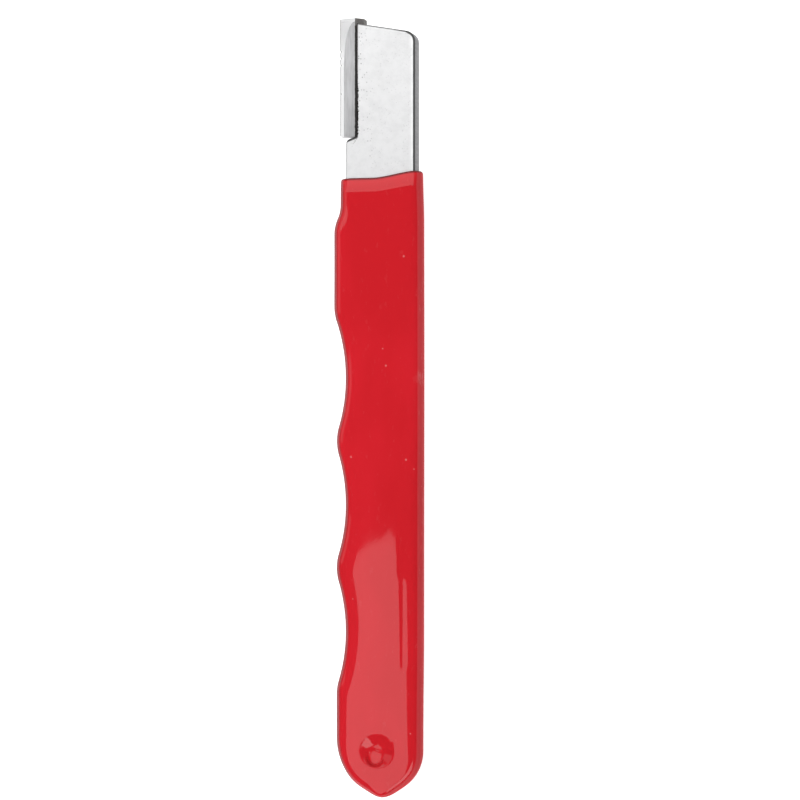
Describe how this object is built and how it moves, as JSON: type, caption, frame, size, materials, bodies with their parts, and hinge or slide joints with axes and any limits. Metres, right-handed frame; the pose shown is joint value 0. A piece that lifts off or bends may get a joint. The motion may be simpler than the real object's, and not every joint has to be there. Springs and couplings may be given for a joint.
{
  "type": "carbide sharpener",
  "caption": "Flat pocket sharpener: a steel bar with a brazed carbide edge insert and a dipped vinyl grip with finger grooves.",
  "frame": {"origin": "under the middle of the bounding box, on the flat back of the grip", "axes": "+Y along the tool toward the carbide tip, +Z out of the front face, +X to the right of the front face, so the insert and finger grooves are on the -X side"},
  "size_m": [0.014, 0.12, 0.0048],
  "materials": {
    "plated_steel": "satin",
    "carbide": "satin",
    "braze": "matte",
    "red_vinyl": "satin"
  },
  "bodies": {
    "root": {"steel_body": "plated_steel", "carbide_insert": "carbide", "braze_joint": "braze", "vinyl_grip": "red_vinyl"}
  },
  "joints": []
}
